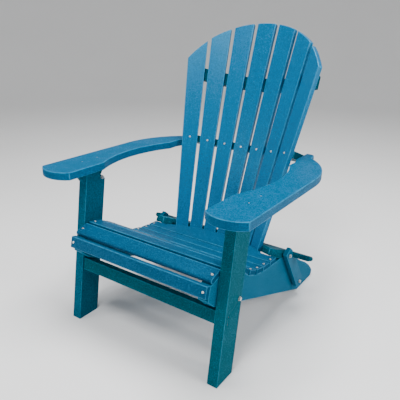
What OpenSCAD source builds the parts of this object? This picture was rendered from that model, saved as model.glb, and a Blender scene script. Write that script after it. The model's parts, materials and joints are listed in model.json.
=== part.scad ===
// Folding Adirondack chair in recycled-plastic lumber. Side profiles are drawn in the Y-Z plane,
// with Y = 0 at the front foot's toe, and every node is then moved so that the origin is on the
// floor at the middle of the whole chair. +Z is up and the chair faces -Y.

/* [Lumber] */
// Thickness of the legs and seat sides
post_t = 38; // [34:1:40]
// Thickness of arms and back rails
board_t = 28; // [26:1:29]
// Thickness of the seat slats and the apron
seat_slat_t = 19; // [16:1:20]
// Thickness of the back slats
back_slat_t = 19; // [16:1:22]
// Thickness of the links that carry the back
link_t = 16; // [14:1:18]

/* [Seat] */
// Outer width over the seat sides
seat_w = 576; // [560:2:580]
// Gap between seat slats
seat_gap = 6; // [4:1:8]
// Pitch of the narrow seat slats, along the curve of the seat
seat_pitch = 51; // [50:0.5:52]
// Number of narrow seat slats
narrow_slats = 7; // [7:1:7]

/* [Legs] */
// Width of a front leg, front to back
leg_w = 90; // [86:1:92]
// Backward rake of the front legs, in degrees
leg_rake = 9; // [8:0.5:10]
// Height of the front stretcher board
stretcher_h = 45; // [40:1:46]

/* [Arms] */
// Height of the arm's top surface
arm_top_z = 585; // [583:1:590]
// Overall width over the arms
arms_w = 826; // [820:2:832]
// Width of an arm at the front
arm_w = 140; // [138:1:142]

/* [Back] */
// Backward lean of the axis that the back curves around, in degrees
back_lean = 6.5; // [6:0.5:7]
// Outward flare of the slats from that axis, in degrees
back_flare = 12.9; // [12.7:0.1:13.1]
// Radius of the curve at the slats' lower ends
back_r = 333; // [331:1:335]
// Angle from one slat to the next around the axis, in degrees
slat_step = 10.3; // [10.2:0.1:10.4]
// Width of a slat at its lower end
slat_foot_w = 52; // [50:1:53]
// Width of a slat at the crown, before the crown is cut round
slat_crown_w = 81; // [78:1:83]

/* [Fasteners] */
// Radius of a pivot bolt's shank
bolt_r = 3.2; // [3:0.1:3.5]
// Radial running clearance of a part that turns on a bolt
run_gap = 0.08; // [0.03:0.01:0.1]
// Radius of a screw's shank
screw_r = 2.2; // [1.8:0.1:2.5]
// Radius of a screw's head
head_r = 4.2; // [4:0.1:4.6]
// Radius of the head of a screw that is let in
small_head_r = 3.6; // [3.3:0.1:4]

/* [Hidden] */

$fn = 48;
eps = 0.05;        // keeps touching faces of one body from sharing volume
body_gap = 0.5;    // clearance where two moving bodies rest on each other
teal_dark = [0.02, 0.36, 0.48];
teal = [0.02, 0.45, 0.60];
teal_light = [0.06, 0.52, 0.70];
steel = [0.78, 0.78, 0.76];

depth_mid = 406.5; // from the front toe back to the middle of the chair

// Pivots in the side view, as [y, z]
leg_pivot = [114, 266];
arm_front_pivot = [157, 526];
arm_rear_pivot = [690, 571];
link_low_pivot = [646, 68];
link_top_pivot = [523, 235.7];

// A back rail's side view: the middle of its front edge as [y, z], and its tilt in degrees
arm_rail = [607, 604, 21];
bottom_rail = [461, 262, 23];
rail_d = 140;      // depth of those rails, front to back

// Planes across the width
side_x = seat_w / 2;
leg_x = side_x + 2;
leg_out_x = leg_x + post_t;
link_x = side_x + 7;
bracket_x = leg_out_x + 2;
bracket_t = 26;
arm_out_x = arms_w / 2;
arm_in_x = arm_out_x - arm_w;
tail_x = 261;
arm_z = arm_top_z - board_t;

// ---------- helpers ----------

module place() { translate([0, -depth_mid, 0]) children(); }

// A profile in the Y-Z plane, extruded along +X from x to x + t
module side_plate(points, x, t) {
    translate([x, 0, 0]) rotate([90, 0, 90]) linear_extrude(t) polygon(points);
}

// A copy on the left (side -1) or the right (side 1)
module on_side(side) { mirror([side < 0 ? 1 : 0, 0, 0]) children(); }

module both_sides() { for (side = [-1, 1]) on_side(side) children(); }

// A round bar along +X
module x_rod(x0, x1, p, r) {
    translate([x0, p[0], p[1]]) rotate([0, 90, 0]) cylinder(r = r, h = x1 - x0);
}

// A hexagon bar along +X
module x_hex(x0, x1, p, r) {
    translate([x0, p[0], p[1]]) rotate([0, 90, 0]) cylinder(r = r, h = x1 - x0, $fn = 6);
}

// Points of an arc, in degrees, both ends included
function arc(c, r, a0, a1, n) = [
    for (i = [0:n]) let (a = a0 + (a1 - a0) * i / n) c + r * [cos(a), sin(a)]
];

// A screw that points down -Z from the surface at z = 0, with a hexagon socket in its head
module screw(len, head = head_r) {
    difference() {
        union() {
            translate([0, 0, -len]) cylinder(r = screw_r, h = len + 0.4);
            translate([0, 0, 0.02]) cylinder(r1 = head, r2 = head - 0.9, h = 1.6);
        }
        translate([0, 0, 0.7]) cylinder(r = 1.8, h = 2, $fn = 6);
    }
}

module screw_hole(len) { translate([0, 0, -len - 0.2]) cylinder(r = screw_r + 0.1, h = len + 1.2); }

// A hole whose screw's head is let in below the surface
module sunk_hole(len) {
    screw_hole(len);
    cylinder(r = small_head_r + 0.4, h = 10);
}

// ---------- seat ----------

nose_y = 14;
rear_front_y = 406;
rear_y = 453;

// The side view of the seat's top surface, as [y, z]
seat_line = [
    [14, 361], [68, 377], [98, 380], [140, 363], [182, 342], [234, 307],
    [256, 288], [303, 268], [355, 257], [406, 253], [456, 251]
];

function seat_z(y) = lookup(y, seat_line);

// Front edge of a slat that lies k pitches in front of the rear slat, along the curve
function slat_front(k) = k == 0 ? rear_front_y : let (
        y = slat_front(k - 1),
        far = y - seat_pitch,
        slope = atan2(seat_z(y) - seat_z(far), seat_pitch)
    ) y - seat_pitch * cos(slope);

function gap_y(y) = seat_gap * cos(atan2(seat_z(y) - seat_z(y - 20), 20));

// Front and rear edge of each seat slat, from the nose to the rear
seat_edges = concat(
    [[nose_y, 67]],
    [for (k = [narrow_slats:-1:1]) [slat_front(k), slat_front(k - 1) - gap_y(slat_front(k - 1))]],
    [[rear_front_y, rear_y]]
);
slat_count = len(seat_edges);

function seat_top(i, end) = [seat_edges[i][end], seat_z(seat_edges[i][end])];
function slat_angle(i) = atan2(seat_top(i, 1)[1] - seat_top(i, 0)[1], seat_top(i, 1)[0] - seat_top(i, 0)[0]);
function slat_normal(i) = [-sin(slat_angle(i)), cos(slat_angle(i))];
function slat_len(i) = norm(seat_top(i, 1) - seat_top(i, 0));

// The top edge of a seat side, under the slats
seat_bearing = [
    for (i = [0:slat_count - 1], end = [0, 1])
        seat_top(i, end) - (seat_slat_t + eps) * slat_normal(i)
];

apron_tilt = 15;
apron_foot = [-15, 311];
apron_h = 41;
apron_back = apron_foot + (seat_slat_t + eps) * [cos(apron_tilt), -sin(apron_tilt)];

seat_side_profile = concat(
    [apron_back + apron_h * [sin(apron_tilt), cos(apron_tilt)] * 0.98],
    seat_bearing,
    // level behind the last slat, then down just under the back's bottom rail
    [for (d = [42, 146]) rail_edge(bottom_rail, d, -board_t / 2 - body_gap)],
    [[646, 169], [693, 138], [729, 117], [766, 95], [807, 65]],
    // round heel
    arc([826, 19], 19, 45, -90, 8),
    [[689, 0], [424, 106], [204, 193.5], [34, 261.5]],
    [apron_back - 12 * [sin(apron_tilt), cos(apron_tilt)]]
);

// The frame of a seat slat: x across the chair, y along the slat's width, z out of its top
module on_seat_slat(i) {
    translate([0, seat_top(i, 0)[0], seat_top(i, 0)[1]]) rotate([slat_angle(i), 0, 0]) children();
}

screw_x = side_x - 12;

module seat_screw_spots(i) {
    on_seat_slat(i) for (side = [-1, 1]) translate([side * screw_x, slat_len(i) * 0.45, 0]) children();
}

module plain_seat_slat(i) {
    difference() {
        on_seat_slat(i) translate([-side_x, 0, -seat_slat_t]) cube([seat_w, slat_len(i), seat_slat_t]);
        seat_screw_spots(i) screw_hole(45);
    }
}

module seat_slat(i) { color(teal_light) place() plain_seat_slat(i); }

// The nose slat has a full round front edge
module seat_nose_slat() {
    nose_r = seat_slat_t / 2;
    color(teal_light) place() difference() {
        on_seat_slat(0) union() {
            translate([-side_x, nose_r, -seat_slat_t]) cube([seat_w, slat_len(0) - nose_r, seat_slat_t]);
            translate([-side_x, nose_r, -nose_r]) rotate([0, 90, 0]) cylinder(r = nose_r, h = seat_w);
        }
        seat_screw_spots(0) screw_hole(45);
    }
}

// The rear slat reaches back into the hollow of the curved back
rear_bow = 62;
rear_bow_w = 456;

module seat_rear_slat() {
    i = slat_count - 1;
    bow_r = (pow(rear_bow_w / 2, 2) + pow(rear_bow, 2)) / (2 * rear_bow);
    color(teal_light) place() difference() {
        on_seat_slat(i) translate([0, 0, -seat_slat_t]) union() {
            translate([-side_x, 0, 0]) cube([seat_w, slat_len(i), seat_slat_t]);
            intersection() {
                translate([0, slat_len(i) + rear_bow - bow_r, 0])
                    cylinder(r = bow_r, h = seat_slat_t, $fn = 180);
                translate([-rear_bow_w / 2, slat_len(i) - 5, 0])
                    cube([rear_bow_w, rear_bow + 10, seat_slat_t]);
            }
        }
        seat_screw_spots(i) screw_hole(45);
    }
}

module seat_side(side) {
    color(teal_dark) place() difference() {
        on_side(side) difference() {
            side_plate(seat_side_profile, side_x - post_t, post_t);
            for (p = [leg_pivot, link_low_pivot]) x_rod(side_x - post_t - 1, side_x + 1, p, bolt_r);
        }
        for (i = [0:slat_count - 1]) seat_screw_spots(i) screw_hole(45);
        apron_screw_spots() screw_hole(50);
    }
}

module on_apron() {
    translate([0, apron_foot[0], apron_foot[1]]) rotate([-apron_tilt, 0, 0]) children();
}

module apron_screw_spots() {
    on_apron() for (side = [-1, 1]) translate([side * screw_x, 0, apron_h / 2]) rotate([90, 0, 0]) children();
}

module seat_apron() {
    color(teal) place() difference() {
        on_apron() translate([-side_x, 0, 0]) cube([seat_w, seat_slat_t, apron_h]);
        apron_screw_spots() screw_hole(50);
    }
}

module seat_screws() {
    color(steel) place() for (i = [0:slat_count - 1]) seat_screw_spots(i) screw(45);
}

module apron_screws() { color(steel) place() apron_screw_spots() screw(50); }

// ---------- legs ----------

leg_top_z = arm_z - 3;
function leg_front(z) = z * tan(leg_rake);

// The top rear corner is cut off, so that it clears the arm as the leg folds
leg_profile = [
    [0, 0], [leg_w, 0], [leg_front(leg_top_z - 36) + leg_w, leg_top_z - 36],
    [leg_front(leg_top_z) + leg_w - 42, leg_top_z], [leg_front(leg_top_z), leg_top_z]
];

stretcher_z = 200;
stretcher_y = leg_front(stretcher_z) + 5;
stretcher_t = 28;

module stretcher_screw_spots() {
    for (side = [-1, 1], up = [0.18, 0.74])
        translate([0, stretcher_y, stretcher_z]) rotate([-leg_rake, 0, 0])
            translate([side * (leg_out_x - 3), stretcher_t / 2, stretcher_h * up])
                rotate([0, side * 90, 0]) children();
}

module front_leg(side) {
    color(teal) place() difference() {
        on_side(side) difference() {
            side_plate(leg_profile, leg_x, post_t);
            x_rod(leg_x - 1, leg_out_x + 1, leg_pivot, bolt_r + run_gap);
            x_rod(leg_x - 1, leg_out_x + 1, arm_front_pivot, bolt_r);
        }
        stretcher_screw_spots() sunk_hole(70);
    }
}

module front_stretcher() {
    half = leg_x - eps;
    color(teal_dark) place() difference() {
        translate([-half, stretcher_y, stretcher_z]) rotate([-leg_rake, 0, 0])
            cube([2 * half, stretcher_t, stretcher_h]);
        stretcher_screw_spots() screw_hole(70);
    }
}

module stretcher_screws() { color(steel) place() stretcher_screw_spots() screw(70, small_head_r); }

// ---------- arms ----------

// The outline of the right arm: a bowed front, a waist that lets the folded back through, and a
// narrow tail beside the back's arm rail
waist_c = [-125, 345];
waist_r = 442;
waist_a = acos((arm_in_x - waist_c[0]) / waist_r);
front_r = 99;
front_half = asin(arm_w / 2 / front_r);
front_c = [arm_out_x - arm_w / 2, front_r - 32];
shoulder_r = 300;
tail_y = 722;
arm_outline = concat(
    arc(front_c, front_r, -90 - front_half, -90 + front_half, 20),
    arc([arm_out_x - shoulder_r, 437], shoulder_r, 0, 51, 20),
    arc([276, 700], 22, 5, 90, 8),
    // the tail widens to its full width behind the folded back's outer slats
    [[tail_x, tail_y], [tail_x, 624], [271, 594], [arm_in_x + 1, 574]],
    arc(waist_c, waist_r, waist_a, -waist_a, 32)
);

bracket_profile = [[72, arm_z - eps], [107, 509], [184, 509], [216, arm_z - eps]];
arm_screw_y = [116, 188];
arm_screw_sink = 2.4;

module arm_screw_spots(side) {
    for (y = arm_screw_y)
        translate([side * (bracket_x + bracket_t / 2), y, arm_top_z - arm_screw_sink]) children();
}

module arm(side) {
    color(teal_light) place() difference() {
        on_side(side) difference() {
            translate([0, 0, arm_z]) linear_extrude(board_t) polygon(arm_outline);
            x_rod(tail_x - 1, arm_out_x, arm_rear_pivot, bolt_r);
            // pocket for the rear bolt's head, in the sloping outer edge
            x_rod(tail_x + 33, arm_out_x, arm_rear_pivot, 9.6);
        }
        arm_screw_spots(side) sunk_hole(60);
    }
}

module arm_bracket(side) {
    color(teal) place() difference() {
        on_side(side) difference() {
            side_plate(bracket_profile, bracket_x, bracket_t);
            x_rod(bracket_x - 1, bracket_x + bracket_t + 1, arm_front_pivot, bolt_r + run_gap);
        }
        arm_screw_spots(side) screw_hole(60);
    }
}

module arm_screws(side) { color(steel) place() arm_screw_spots(side) screw(60, small_head_r); }

// ---------- back ----------

// The slats lie on a cone that opens upward. Its axis starts at back_base and leans back; the
// slats' front faces touch the cone
back_base = [195, 246];
slat_n = 3;
slat_len_z = 905;

// The cone's frame: x across, y rearward, z along the axis
module on_cone() { translate([0, back_base[0], back_base[1]]) rotate([-back_lean, 0, 0]) children(); }

// The frame of slat i, from -3 to 3: x across its face, y out of its rear, z along it
module on_slat(i) {
    on_cone() rotate([0, 0, -slat_step * i]) translate([0, back_r, 0]) rotate([-back_flare, 0, 0]) children();
}

slat_outline = [
    [-slat_foot_w / 2, 0], [slat_foot_w / 2, 0],
    [slat_crown_w / 2, slat_len_z], [-slat_crown_w / 2, slat_len_z]
];

// The slats end on one round crown, drawn on the cone laid out flat
crown_r = 421;
crown_z = 482;
crown_shift = 97.5;

module on_rail(rail) { translate([0, rail[0], rail[1]]) rotate([-rail[2], 0, 0]) children(); }

// A point of a rail's side view: d back from its front edge and h above its middle
function rail_edge(rail, d, h) = [
    rail[0] + d * cos(rail[2]) + h * sin(rail[2]),
    rail[1] - d * sin(rail[2]) + h * cos(rail[2])
];

// How far up slat i a rail's mid-plane meets the slat's rear face
function rail_height(i, rail) = let (
        a = rail[2] - back_lean,
        d = (rail[0] - back_base[0]) * sin(rail[2]) + (rail[1] - back_base[1]) * cos(rail[2]),
        c = cos(slat_step * i)
    ) (d + back_slat_t * sin(back_flare) * cos(a) - (back_r + back_slat_t * cos(back_flare)) * c * sin(a))
        / (cos(back_flare) * cos(a) + sin(back_flare) * c * sin(a));

// A screw through a slat's front face into the arm rail
module arm_rail_screw_spot(i) {
    on_slat(i) translate([0, 0, rail_height(i, arm_rail)]) rotate([90, 0, 0]) children();
}

// A screw through a slat's foot into the bottom rail, let in below the face
module foot_screw_spot(i) {
    on_slat(i) translate([0, 2.6, rail_height(i, bottom_rail) - 8]) rotate([90, 0, 0]) children();
}

module back_slat(i) {
    color(teal_light) place() difference() {
        on_slat(i) intersection() {
            translate([0, back_slat_t, 0]) rotate([90, 0, 0])
                linear_extrude(back_slat_t) polygon(slat_outline);
            union() {
                translate([-crown_shift * i, 50, crown_z]) rotate([90, 0, 0])
                    cylinder(r = crown_r, h = 100, $fn = 180);
                translate([-100, -50, -10]) cube([200, 100, crown_z + 10]);
            }
        }
        arm_rail_screw_spot(i) screw_hole(48);
        foot_screw_spot(i) sunk_hole(45);
    }
}

// A solid cone around the back's axis, its surface at distance d behind the slats' front faces
module back_cone(d) {
    low = -60;
    high = 760;
    r = back_r + d / cos(back_flare);
    on_cone() translate([0, 0, low])
        cylinder(r1 = r + low * tan(back_flare), r2 = r + high * tan(back_flare), h = high - low, $fn = 180);
}

// Distance of the rails' hollow fronts behind the slats' front faces
rail_gap = back_slat_t + 1.9;

module arm_back_rail() {
    half = tail_x - 4;
    color(teal_dark) place() difference() {
        on_rail(arm_rail) translate([-half, 0, -board_t / 2]) cube([2 * half, rail_d, board_t]);
        back_cone(rail_gap);
        for (i = [-slat_n:slat_n]) arm_rail_screw_spot(i) screw_hole(48);
        // socket for the end of the arm's bolt; the bolt itself stops at its mouth
        both_sides() x_rod(half - 30, half + 1, arm_rear_pivot, bolt_r + 1);
    }
}

upper_rail = [745.5, 839, 30];
upper_rail_h = 46;
upper_rail_d = 26;
upper_rail_half = 284;

module upper_back_rail() {
    color(teal_dark) place() difference() {
        intersection() {
            back_cone(rail_gap + upper_rail_d);
            on_rail(upper_rail) translate([-upper_rail_half, -160, -upper_rail_h / 2])
                cube([2 * upper_rail_half, 260, upper_rail_h]);
        }
        back_cone(rail_gap);
    }
}

// The bottom rail is rounded over on top at its ends. Behind the links it reaches out past them
// with thinner ears, which lie flush with its top
rail_notch = 104;
rail_ear_half = 378;
rail_ear_h = 19;
rail_ear_low = board_t / 2 - rail_ear_h;
bottom_rail_half = side_x + 2;
rail_end_r = 16;
bottom_rail_face = let (x = bottom_rail_half - rail_end_r, h = board_t / 2 - rail_end_r) concat(
    arc([x, h], rail_end_r, 0, 90, 8),
    arc([-x, h], rail_end_r, 90, 180, 8),
    [[-bottom_rail_half, -board_t / 2], [bottom_rail_half, -board_t / 2]]
);

module rail_ears() {
    r = rail_ear_h / 2;
    x = rail_ear_half - r;
    z = rail_ear_low + r;
    ear_face = concat(arc([x, z], r, -90, 90, 12), arc([-x, z], r, 90, 270, 12));
    translate([0, rail_d, 0]) rotate([90, 0, 0]) linear_extrude(rail_d - rail_notch) polygon(ear_face);
}

module bottom_back_rail() {
    color(teal) place() difference() {
        on_rail(bottom_rail) union() {
            translate([0, rail_d, 0]) rotate([90, 0, 0]) linear_extrude(rail_d) polygon(bottom_rail_face);
            rail_ears();
        }
        back_cone(rail_gap);
        for (i = [-slat_n:slat_n]) foot_screw_spot(i) screw_hole(45);
        both_sides() x_rod(bottom_rail_half - 58, bottom_rail_half + 1, link_top_pivot, bolt_r);
    }
}

module back_screws() {
    color(steel) place() for (i = [-slat_n:slat_n]) {
        arm_rail_screw_spot(i) screw(48);
        foot_screw_spot(i) screw(45, small_head_r);
    }
}

// ---------- links ----------

// A link stands in front of the bottom rail's ears: its rear edge is cut to fit around them
link_r = 26;
link_profile = concat(
    [[494, 247], [529, 266], [549, 249]],
    [
        rail_edge(bottom_rail, rail_notch - body_gap, 0),
        rail_edge(bottom_rail, rail_notch - body_gap, rail_ear_low - body_gap),
        rail_edge(bottom_rail, rail_d - 2, rail_ear_low - body_gap)
    ],
    arc(link_low_pivot, link_r, 34, -146, 18)
);

module link(side) {
    color(teal) place() on_side(side) difference() {
        side_plate(link_profile, link_x, link_t);
        for (p = [link_top_pivot, link_low_pivot])
            x_rod(link_x - 1, link_x + link_t + 1, p, bolt_r + run_gap);
    }
}

// ---------- pivot hardware ----------

hex_r = 6.4;

// A hex bolt along X: its head's underside at x_head, its tip at x_tip
module hex_bolt(x_head, x_tip, p) {
    out = x_head > x_tip ? 1 : -1;
    x_rod(min(x_head, x_tip), max(x_head, x_tip), p, bolt_r - eps / 2);
    x_rod(min(x_head, x_head + out * 1.5), max(x_head, x_head + out * 1.5), p, hex_r + 0.8);
    x_hex(min(x_head + out * 1.45, x_head + out * 6), max(x_head + out * 1.45, x_head + out * 6), p, hex_r);
}

module hex_nut(x0, p) {
    difference() {
        x_hex(x0, x0 + 6.5, p, hex_r);
        x_rod(x0 - 1, x0 + 8, p, bolt_r);
    }
}

module washer(x0, x1, p, r, bore) {
    difference() {
        x_rod(x0, x1, p, r);
        x_rod(x0 - 1, x1 + 1, p, bore);
    }
}

nut_x = side_x - post_t - 8;

module leg_pivot_bolts() { color(steel) place() both_sides() hex_bolt(leg_out_x + 0.4, nut_x, leg_pivot); }
module leg_pivot_nuts() { color(steel) place() both_sides() hex_nut(nut_x + 1.4, leg_pivot); }
module leg_pivot_washers() {
    color(steel) place() both_sides() washer(side_x + eps, leg_x - 0.4, leg_pivot, 11, bolt_r + eps);
}

bracket_out_x = bracket_x + bracket_t;

module arm_front_bolts() {
    color(steel) place() both_sides() hex_bolt(leg_x - eps, bracket_out_x + 8.5, arm_front_pivot);
}
module arm_front_nuts() { color(steel) place() both_sides() hex_nut(bracket_out_x + 0.4, arm_front_pivot); }

module arm_rear_bolt(side) {
    color(steel) place() on_side(side) hex_bolt(tail_x + 33 + eps, tail_x + 0.5, arm_rear_pivot);
}

link_out_x = link_x + link_t;

module link_lower_bolts() {
    color(steel) place() both_sides() hex_bolt(link_out_x + 0.4, nut_x, link_low_pivot);
}
module link_lower_nuts() { color(steel) place() both_sides() hex_nut(nut_x + 1.4, link_low_pivot); }
module link_upper_bolts() {
    color(steel) place() both_sides() hex_bolt(link_out_x + 0.4, bottom_rail_half - 58, link_top_pivot);
}
module link_lower_spacers() {
    color(steel) place() both_sides() washer(side_x + eps, link_x - 0.4, link_low_pivot, 11, bolt_r + eps);
}
module link_upper_spacers() {
    color(steel) place() both_sides()
        washer(bottom_rail_half + eps, link_x - 0.4, link_top_pivot, 11, bolt_r + eps);
}

// ---------- nodes ----------

seat_side(-1);  // seat_side_left
seat_side(1);  // seat_side_right
seat_nose_slat();
for (i = [1:7]) seat_slat(i);
seat_rear_slat();
seat_apron();
seat_screws();
apron_screws();
front_leg(-1);  // front_leg_left
front_leg(1);  // front_leg_right
front_stretcher();
stretcher_screws();
arm(-1);  // arm_left
arm(1);  // arm_right
arm_bracket(-1);  // arm_bracket_left
arm_bracket(1);  // arm_bracket_right
arm_screws(-1);  // arm_screws_left
arm_screws(1);  // arm_screws_right
for (i = [1:7]) back_slat(i - 4);
upper_back_rail();
arm_back_rail();
bottom_back_rail();
back_screws();
link(-1);  // link_left
link(1);  // link_right
leg_pivot_bolts();
leg_pivot_nuts();
leg_pivot_washers();
arm_front_bolts();
arm_front_nuts();
arm_rear_bolt(-1);  // arm_rear_bolt_left
arm_rear_bolt(1);  // arm_rear_bolt_right
link_lower_bolts();
link_lower_nuts();
link_upper_bolts();
link_lower_spacers();
link_upper_spacers();
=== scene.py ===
"""Looks of the folding Adirondack chair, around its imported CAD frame."""
import json
import math
import random

import bmesh
import bpy
from mathutils import Matrix, Vector


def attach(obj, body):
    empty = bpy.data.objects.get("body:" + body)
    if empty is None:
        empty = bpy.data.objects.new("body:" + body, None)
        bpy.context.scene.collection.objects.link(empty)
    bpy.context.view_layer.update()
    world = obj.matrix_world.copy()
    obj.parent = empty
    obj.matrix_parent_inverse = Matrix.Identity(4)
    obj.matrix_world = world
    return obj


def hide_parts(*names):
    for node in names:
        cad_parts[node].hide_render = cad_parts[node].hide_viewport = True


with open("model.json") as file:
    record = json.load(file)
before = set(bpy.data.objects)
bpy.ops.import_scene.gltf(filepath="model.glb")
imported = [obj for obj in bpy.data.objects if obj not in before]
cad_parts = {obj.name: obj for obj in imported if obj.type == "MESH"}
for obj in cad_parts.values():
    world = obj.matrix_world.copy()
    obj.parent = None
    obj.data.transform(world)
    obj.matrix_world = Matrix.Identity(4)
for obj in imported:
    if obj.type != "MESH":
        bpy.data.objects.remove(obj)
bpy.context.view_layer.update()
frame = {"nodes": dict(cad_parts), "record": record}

BODY_OF = {n: b for b, ns in frame["record"]["behaviour"]["bodies"].items() for n in ns}
SLOT_OF = {row["node"]: row["material_slot"] for row in frame["record"]["subparts"]}
STEEL_SLOT = "stainless_steel"
RNG = random.Random(11)
# the rounded edge strips that this value marks are painted paler in the lumber, as a painted highlight
EDGE_HIGHLIGHT = "edge_wear"  # the face value that marks a board's rounded edges

# the viewer's place in metres, the directions in degrees and the lens in millimetres
CAMERA_PLACE = (0.9291, -1.383, 1.0587)
CAMERA_AZIMUTH, CAMERA_ELEVATION, CAMERA_ROLL = 34.62, 20.79, -0.85
LENS, SENSOR_WIDTH = 42.1, 36

# how the boards stand in the chair: angles in degrees, as in the CAD, and directions
LEG_RAKE = 9
BACK_LEAN, BACK_FLARE, SLAT_STEP = 6.5, 12.9, 10.3
MIDDLE_SLAT = 4
ACROSS, BACKWARD = Vector((1, 0, 0)), Vector((0, 1, 0))
ALONG_SEAT_SIDE, ALONG_LINK = Vector((0, 1, -0.4)), Vector((0, -0.56, 0.83))

BLUE_BACK = (0.0, 0.140, 0.330, 1.0)
BLUE_SEAT = (0.0, 0.084, 0.190, 1.0)
BLUE_ARM = (0.0, 0.125, 0.280, 1.0)
# painted light: the seat sides and links take a brighter blue, for the side light on their outer faces
LIT_SIDE_BLUE = (0.0, 0.130, 0.245, 1.0)
# painted light: the left front leg takes a brighter, bluer copy of the legs' colour, for the light on
# its front
LIT_LEFT_LEG_BLUE = (0.0, 0.100, 0.170, 1.0)
# painted light: a greener blue that paints green bounce light, for the rows below that take it
BOUNCE_GREEN = (0.0, 0.100, 0.142, 1.0)
DEEP_RAIL = (0.0, 0.090, 0.140, 1.0)
# a board takes the first row that its name starts with: the colour, the gloss, the roughness and
# how much darker its end faces are painted, as painted shade
LOOKS = (
    ("back_slat", BLUE_BACK, 0.55, 0.33, 0.0),
    ("seat_side", LIT_SIDE_BLUE, 0.02, 0.48, 0.8),
    ("seat_", BLUE_SEAT, 0.10, 0.42, 0.8),
    ("link_", LIT_SIDE_BLUE, 0.04, 0.46, 0.8),
    ("arm_bracket", BOUNCE_GREEN, 0.02, 0.48, 0.8),
    ("arm_back_rail", DEEP_RAIL, 0.02, 0.48, 0.8),
    ("arm_", BLUE_ARM, 0.06, 0.44, 0.6),
    ("front_leg_left", LIT_LEFT_LEG_BLUE, 0.02, 0.48, 0.8),
    ("front_", BOUNCE_GREEN, 0.02, 0.48, 0.8),
    ("", DEEP_RAIL, 0.02, 0.48, 0.8),
)
PALE_BLUE = (0.10, 0.52, 0.80)  # what the lumber's paler flecks and its painted edge highlights lean to
GLINT = (0.25, 0.75, 1.0, 1)  # the tint of the lumber's reflections
# the dark steel is painted shade, for screws that sit deep in their holes
BRIGHT_STEEL, PLAIN_STEEL, SHADED_STEEL = (
    (0.90, 0.90, 0.88, 1), (0.62, 0.61, 0.58, 1), (0.16, 0.17, 0.18, 1))
TARNISH = (0.42, 0.40, 0.37, 1)
FLOOR_LOW, FLOOR_HIGH = (0.86, 0.86, 0.86, 1), (0.9, 0.9, 0.9, 1)

# how the boards' edges are rounded, in metres and radians
ARM_RADIUS, SLAT_RADIUS, BOARD_RADIUS = 0.0045, 0.0028, 0.0025
SHARP_EDGE, FLAT_EDGE, FOLDED_EDGE = math.radians(38), math.radians(0.6), math.radians(120)
LARGEST_RIM = 0.03  # the widest hole rim that stays sharp
MERGE, SLIVER = 1e-6, 2e-5  # points nearer than this become one, before and after the rounding
# the rounding leaves a board's points and faces in no fixed order, so they are numbered along this
SORTING = Vector((1.0, 2.236, 3.317))
# shares of the radius, each with the length in metres that an edge must have to be rounded, in the
# order tried
ROUNDINGS = (
    (1.0, 0.0), (0.8, 0.0), (0.6, 0.0), (0.4, 0.0),
    (1.0, 0.012), (0.6, 0.012),
    (0.25, 0.0), (0.12, 0.0),
)

# each lamp's name, place, target, width in metres and power in watts
LAMPS = (
    ("key", (0.4, -1.7, 3.3), (0, 0, 0.8), 0.9, 76),
    ("side", (3.0, 0.1, 1.7), (0, 0, 0.4), 1.6, 66),
    ("low", (-1.5, -1.9, 0.9), (-0.3, -0.3, 0.4), 0.7, 14),
    ("top", (0.1, 0.3, 3.9), (0, 0, 0.5), 2.2, 165),
)
SKY, SKY_STRENGTH = (0.97, 0.985, 1.0, 1), 0.30

# in metres: the radius of the floor's flat part, of its upturn and of the rings in the flat part,
# and the height of the wall
FLOOR_FLAT, FLOOR_CURVE, FLOOR_RINGS, WALL_TOP = 5.0, 3.0, (1.5, 3.2), 5.0
FLOOR_STEPS, CURVE_STEPS = 96, 16  # how many steps the floor takes round, and its upturn upward


# ---------- camera ----------

def make_camera():
    """The camera of a viewer in front of the chair, to its right and above it."""
    azimuth, elevation = math.radians(CAMERA_AZIMUTH), math.radians(CAMERA_ELEVATION)
    roll = math.radians(CAMERA_ROLL)
    forward = Vector((-math.sin(azimuth) * math.cos(elevation),
                      math.cos(azimuth) * math.cos(elevation), -math.sin(elevation)))
    right = Vector((math.cos(azimuth), math.sin(azimuth), 0))
    down = forward.cross(right)
    image_right = math.cos(roll) * right + math.sin(roll) * down
    image_down = -math.sin(roll) * right + math.cos(roll) * down
    camera = bpy.data.objects.new("camera", bpy.data.cameras.new("camera"))
    bpy.context.scene.collection.objects.link(camera)
    turn = Matrix((image_right, -image_down, -forward)).transposed().to_4x4()
    camera.matrix_world = Matrix.Translation(CAMERA_PLACE) @ turn
    camera.data.lens = LENS
    camera.data.sensor_width = SENSOR_WIDTH
    bpy.context.scene.camera = camera


# ---------- materials ----------

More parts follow.
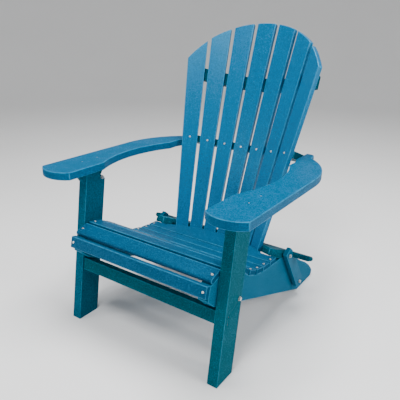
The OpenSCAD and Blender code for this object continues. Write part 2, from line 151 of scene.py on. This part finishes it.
class Nodes:
    """A short way to build one material's node tree. Noise scales are in turns per metre."""

    def __init__(self, name):
        self.material = bpy.data.materials.new(name)
        self.material.use_nodes = True
        self.tree = self.material.node_tree
        self.shader = self.tree.nodes["Principled BSDF"]

    def add(self, kind, inputs=None, **settings):
        node = self.tree.nodes.new("ShaderNode" + kind)
        for key, value in settings.items():
            setattr(node, key, value)
        for key, value in (inputs or {}).items():
            if isinstance(value, bpy.types.NodeSocket):
                self.tree.links.new(value, node.inputs[key])
            else:
                node.inputs[key].default_value = value
        return node

    def math(self, operation, a, b, clamp=False):
        return self.add("Math", {0: a, 1: b}, operation=operation, use_clamp=clamp).outputs[0]

    def spread(self, value, lo, hi, to_lo, to_hi):
        return self.add("MapRange", {0: value, 1: lo, 2: hi, 3: to_lo, 4: to_hi}).outputs[0]

    def noise(self, vector, scale, detail, roughness):
        return self.add("TexNoise", {"Vector": vector, "Scale": scale, "Detail": detail,
                                     "Roughness": roughness}).outputs["Fac"]

    def mix(self, factor, a, b):
        node = self.tree.nodes.new("ShaderNodeMix")
        node.data_type = "RGBA"
        for socket, value in ((node.inputs[0], factor), (node.inputs[6], a), (node.inputs[7], b)):
            if isinstance(value, bpy.types.NodeSocket):
                self.tree.links.new(value, socket)
            else:
                socket.default_value = value
        return node.outputs[2]

    def to_shader(self, **links):
        for name, socket in links.items():
            self.tree.links.new(socket, self.shader.inputs[name.replace("_", " ")])


def shade(colour, factor):
    """A colour made darker by a factor up to 1. What a larger factor has over 1 is the share of
    PALE_BLUE that is mixed in."""
    if factor <= 1:
        return tuple(c * factor for c in colour[:3]) + (1.0,)
    return tuple(c + (t - c) * (factor - 1) for c, t in zip(colour[:3], PALE_BLUE)) + (1.0,)


def lumber(name, colour, gloss, roughness, end_shade, along):
    """Moulded poly lumber: a deep even teal with fine speckle, cloudy mottling and faint drawn lines
    along the board, an embossed grain, rounded edges painted paler as a painted highlight and made
    smoother, and end faces painted darker as painted shade, by the given share."""
    n = Nodes(name)
    texture = n.add("TexCoord")
    coords = texture.outputs["Object"]
    # turn the coordinates so that Z runs along the board, then shift them so that boards differ
    to_board = along.normalized().rotation_difference(Vector((0, 0, 1))).to_euler()
    offset = [RNG.uniform(-3, 3) for _ in range(3)]
    board = n.add("Mapping", {"Vector": coords, "Rotation": to_board, "Location": offset}).outputs[0]
    drawn = n.add("Mapping", {"Vector": board, "Scale": (1.0, 1.0, 0.05)}).outputs[0]

    lines = n.noise(drawn, 160, 4, 0.6)
    clouds = n.noise(board, 13, 3, 0.6)
    speckle = n.noise(board, 250, 3, 0.75)
    flecks = n.noise(board, 320, 2, 0.6)
    grain = n.noise(drawn, 700, 3, 0.6)
    pores = n.noise(board, 1300, 2, 0.6)

    base = n.mix(n.spread(lines, 0.3, 0.7, 0, 1), shade(colour, 0.88), shade(colour, 1.0))
    base = n.mix(n.spread(clouds, 0.34, 0.68, 0, 0.7), base, shade(colour, 0.74))
    base = n.mix(n.spread(speckle, 0.40, 0.60, 0, 1), base, shade(colour, 0.50))
    base = n.mix(n.spread(flecks, 0.56, 0.70, 0, 0.7), base, shade(colour, 1.22))
    # painted shade: the end faces, which look along the board, are painted darker
    facing = n.add("VectorMath", {0: texture.outputs["Normal"], 1: tuple(along.normalized())},
                   operation="DOT_PRODUCT").outputs["Value"]
    end_shade_mask = n.spread(n.math("ABSOLUTE", facing, 0.0), 0.80, 0.97, 0, end_shade)
    base = n.mix(end_shade_mask, base, shade(colour, 0.55))
    # painted highlight: the rounded edge strips are painted paler, in patches
    edge_strips = n.add("Attribute", attribute_name=EDGE_HIGHLIGHT).outputs["Fac"]
    patchy = n.spread(n.noise(board, 55, 4, 0.65), 0.34, 0.6, 0.3, 1)
    highlight_mask = n.math("MULTIPLY", edge_strips, patchy, True)
    base = n.mix(n.math("MULTIPLY", highlight_mask, 0.55), base, shade(colour, 1.36))

    rough = n.math("ADD", n.spread(speckle, 0.3, 0.7, roughness - 0.06, roughness + 0.08),
                   n.spread(clouds, 0.3, 0.7, -0.04, 0.05))
    rough = n.math("SUBTRACT", rough, n.math("MULTIPLY", highlight_mask, 0.1), True)
    rough = n.math("ADD", rough, n.math("MULTIPLY", end_shade_mask, 0.5), True)
    height = n.math("ADD", n.math("MULTIPLY", grain, 0.6), n.math("MULTIPLY", pores, 0.4))
    height = n.math("ADD", height, n.math("MULTIPLY", lines, 0.4))
    bump = n.add("Bump", {"Height": height, "Strength": 0.4, "Distance": 0.0005}).outputs[0]
    n.to_shader(Base_Color=base, Roughness=rough, Normal=bump)
    n.shader.inputs["Specular IOR Level"].default_value = gloss
    n.shader.inputs["Specular Tint"].default_value = GLINT
    return n.material


def stainless(name, tint, roughness):
    """Brushed stainless steel with fine drawn lines, faint smudges and a little tarnish."""
    n = Nodes(name)
    coords = n.add("TexCoord").outputs["Object"]
    brushed = n.add("Mapping", {"Vector": coords, "Scale": (0.2, 1.0, 1.0)}).outputs[0]
    lines = n.noise(brushed, 2600, 3, 0.6)
    smudge = n.noise(coords, 240, 3, 0.6)
    base = n.mix(n.spread(lines, 0.3, 0.7, 0, 1), shade(tint, 0.78), tint)
    base = n.mix(n.spread(smudge, 0.45, 0.75, 0, 0.5), base, TARNISH)
    rough = n.spread(smudge, 0.3, 0.7, roughness - 0.06, roughness + 0.12)
    bump = n.add("Bump", {"Height": lines, "Strength": 0.35, "Distance": 0.00008}).outputs[0]
    n.to_shader(Base_Color=base, Roughness=rough, Normal=bump)
    n.shader.inputs["Metallic"].default_value = 1.0
    return n.material


def floor_material():
    """A matt pale grey with very faint clouds."""
    n = Nodes("pale_floor")
    coords = n.add("TexCoord").outputs["Object"]
    cloud = n.noise(coords, 1.5, 3, 0.5)
    n.to_shader(Base_Color=n.mix(cloud, FLOOR_LOW, FLOOR_HIGH))
    n.shader.inputs["Roughness"].default_value = 0.7
    return n.material


# ---------- boards ----------

def board_edges(work):
    """The sharp edges round a board's outside. The rims of its small bolt and screw holes, which
    make up short closed groups, are left out."""
    left = dict.fromkeys(e for e in work.edges
                         if len(e.link_faces) == 2 and e.calc_face_angle(0) > SHARP_EDGE)
    chosen = []
    while left:
        reached, group = [left.popitem()[0]], []
        while reached:
            edge = reached.pop()
            group.append(edge)
            for neighbour in (e for v in edge.verts for e in v.link_edges):
                if neighbour in left:
                    del left[neighbour]
                    reached.append(neighbour)
        spots = [v.co for e in group for v in e.verts]
        if max(max(s[k] for s in spots) - min(s[k] for s in spots) for k in range(3)) > LARGEST_RIM:
            chosen += group
    return chosen


def rounded_form(node, radius, shortest):
    """A bmesh of a CAD board with its outer edges longer than shortest rounded over, as moulded
    lumber is cut and routed. The rounded strips carry the value that marks them for a painted highlight."""
    work = bmesh.new()
    work.from_mesh(frame["nodes"][node].data)
    highlight_mask = work.faces.layers.float.new(EDGE_HIGHLIGHT)
    bmesh.ops.remove_doubles(work, verts=work.verts, dist=MERGE)
    bmesh.ops.dissolve_limit(work, angle_limit=FLAT_EDGE, verts=work.verts, edges=work.edges)
    edges = [e for e in board_edges(work) if e.calc_length() > shortest]
    strips = bmesh.ops.bevel(work, geom=edges, offset=radius, segments=3, profile=0.5,
                             affect="EDGES", clamp_overlap=False, loop_slide=True)["faces"]
    for face in strips:
        face[highlight_mask] = 1.0
    bmesh.ops.dissolve_degenerate(work, dist=SLIVER, edges=work.edges)
    many_sided = [f for f in work.faces if len(f.verts) > 4]
    bmesh.ops.triangulate(work, faces=many_sided, quad_method="BEAUTY", ngon_method="BEAUTY")
    work.verts.sort(key=lambda v: v.co.dot(SORTING))
    work.faces.sort(key=lambda f: f.calc_center_median().dot(SORTING))
    return work


def count_folds(work):
    """How many faces are folded back on a neighbour, which a too wide rounding causes."""
    return sum(any(len(e.link_faces) == 2 and e.calc_face_angle(0) > FOLDED_EDGE
                   for e in face.edges) for face in work.faces)


def rounded_boards(nodes, radius):
    """Rounded copies of a pair of CAD boards, or of one, that stand for the CAD nodes. The first
    rounding that leaves no folded face is taken, or else the one that leaves the fewest."""
    best = None
    for share, shortest in ROUNDINGS:
        forms = [rounded_form(node, radius * share, shortest) for node in nodes]
        folds = sum(count_folds(form) for form in forms)
        if best is None or folds < best[0]:
            best = (folds, forms)
        if folds == 0:
            break
    boards = []
    for node, form in zip(nodes, best[1]):
        mesh = bpy.data.meshes.new(node + "_board")
        form.to_mesh(mesh)
        form.free()
        board = bpy.data.objects.new(node + "_board", mesh)
        board.matrix_world = frame["nodes"][node].matrix_world
        bpy.context.scene.collection.objects.link(board)
        boards.append(board)
    return boards


def finish_board(board, node, material):
    """The board's material, shading that is smooth over the rounded edges and even on the wide faces,
    and its body. The CAD node that it stands for is hidden."""
    for polygon in board.data.polygons:
        polygon.use_smooth = True
    board.data.materials.append(material)
    weighted = board.modifiers.new("weighted_normals", "WEIGHTED_NORMAL")
    weighted.weight = 100
    weighted.keep_sharp = True
    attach(board, BODY_OF[node])
    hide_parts(node)


def board_direction(node):
    """The direction of a board's length, which its streaks and grain follow."""
    if node.startswith("back_slat_"):
        turn = Matrix.Rotation(math.radians(-BACK_LEAN), 3, "X") \
            @ Matrix.Rotation(math.radians(-SLAT_STEP * (int(node[-1]) - MIDDLE_SLAT)), 3, "Z") \
            @ Matrix.Rotation(math.radians(-BACK_FLARE), 3, "X")
        return turn @ Vector((0, 0, 1))
    if node.startswith("front_leg"):
        return Vector((0, math.sin(math.radians(LEG_RAKE)), math.cos(math.radians(LEG_RAKE))))
    if node.startswith(("arm_left", "arm_right", "arm_bracket")):
        return BACKWARD
    if node.startswith("seat_side"):
        return ALONG_SEAT_SIDE
    if node.startswith("link_"):
        return ALONG_LINK
    return ACROSS


def edge_radius(node):
    """How far a board's edges are rounded: most on the arms, which hands rub."""
    if node in ("arm_left", "arm_right"):
        return ARM_RADIUS
    if node.startswith("back_slat"):
        return SLAT_RADIUS
    return BOARD_RADIUS


def dress_boards():
    """Every board becomes a rounded copy with its own streaks and its own slight shade."""
    pairs = {}
    for node, slot in SLOT_OF.items():
        if slot != STEEL_SLOT:
            pairs.setdefault(node.replace("_left", "").replace("_right", ""), []).append(node)
    for nodes in pairs.values():
        radius = edge_radius(nodes[0])
        for node, board in zip(nodes, rounded_boards(nodes, radius)):
            colour, gloss, roughness, end_shade = next(look[1:] for look in LOOKS if node.startswith(look[0]))
            own_colour = shade(colour, RNG.uniform(0.94, 1.0))
            finish_board(board, node, lumber("lumber_" + node, own_colour, gloss, roughness, end_shade,
                                             board_direction(node)))


def dress_fasteners():
    """The bolts and screws keep their CAD shapes. The stretcher's screws are painted dark, as painted
    shade for their deep holes. The seat's screws and all bolts are duller than the other screws."""
    bright = stainless("stainless_screw", BRIGHT_STEEL, 0.36)
    plain = stainless("stainless_bolt", PLAIN_STEEL, 0.34)
    shaded_steel = stainless("stainless_shaded", SHADED_STEEL, 0.42)
    for node, slot in SLOT_OF.items():
        if slot != STEEL_SLOT:
            continue
        steel = plain
        # painted shade: the stretcher's screws, deep in their holes, take the dark steel
        if node == "stretcher_screws":
            steel = shaded_steel
        elif "screw" in node and node != "seat_screws":
            steel = bright
        mesh = frame["nodes"][node].data
        mesh.materials.clear()
        mesh.materials.append(steel)


# ---------- stage ----------

def make_floor():
    """A round pale floor that curves up into a low wall all round, so no horizon shows."""
    profile = [(radius, 0.0) for radius in (*FLOOR_RINGS, FLOOR_FLAT)]
    for i in range(1, CURVE_STEPS + 1):
        turn = math.radians(90 * i / CURVE_STEPS)
        profile.append((FLOOR_FLAT + FLOOR_CURVE * math.sin(turn), FLOOR_CURVE * (1 - math.cos(turn))))
    profile.append((FLOOR_FLAT + FLOOR_CURVE, WALL_TOP))
    work = bmesh.new()
    hub = work.verts.new((0, 0, 0))
    turns = [2 * math.pi * k / FLOOR_STEPS for k in range(FLOOR_STEPS)]
    rings = [[work.verts.new((radius * math.cos(turn), radius * math.sin(turn), height))
              for turn in turns] for radius, height in profile]
    for k in range(FLOOR_STEPS):
        after = (k + 1) % FLOOR_STEPS
        work.faces.new((hub, rings[0][k], rings[0][after]))
        for inner, outer in zip(rings, rings[1:]):
            work.faces.new((inner[k], outer[k], outer[after], inner[after]))
    mesh = bpy.data.meshes.new("floor")
    work.to_mesh(mesh)
    work.free()
    for polygon in mesh.polygons:
        polygon.use_smooth = True
    mesh.materials.append(floor_material())
    floor = bpy.data.objects.new("floor", mesh)
    bpy.context.scene.collection.objects.link(floor)


def area_light(name, place, target, size, power):
    """A round lamp at place that looks at target."""
    light = bpy.data.lights.new(name, "AREA")
    light.shape = "DISK"
    light.size = size
    light.energy = power
    lamp = bpy.data.objects.new(name, light)
    lamp.location = place
    lamp.rotation_euler = (Vector(target) - Vector(place)).to_track_quat("-Z", "Y").to_euler()
    bpy.context.scene.collection.objects.link(lamp)


def make_light():
    """A plain studio: a dim even surround and four soft lamps."""
    world = bpy.data.worlds.new("studio")
    world.use_nodes = True
    surround = world.node_tree.nodes["Background"]
    surround.inputs["Color"].default_value = SKY
    surround.inputs["Strength"].default_value = SKY_STRENGTH
    bpy.context.scene.world = world
    for lamp in LAMPS:
        area_light(*lamp)


make_camera()
dress_boards()
dress_fasteners()
make_floor()
make_light()
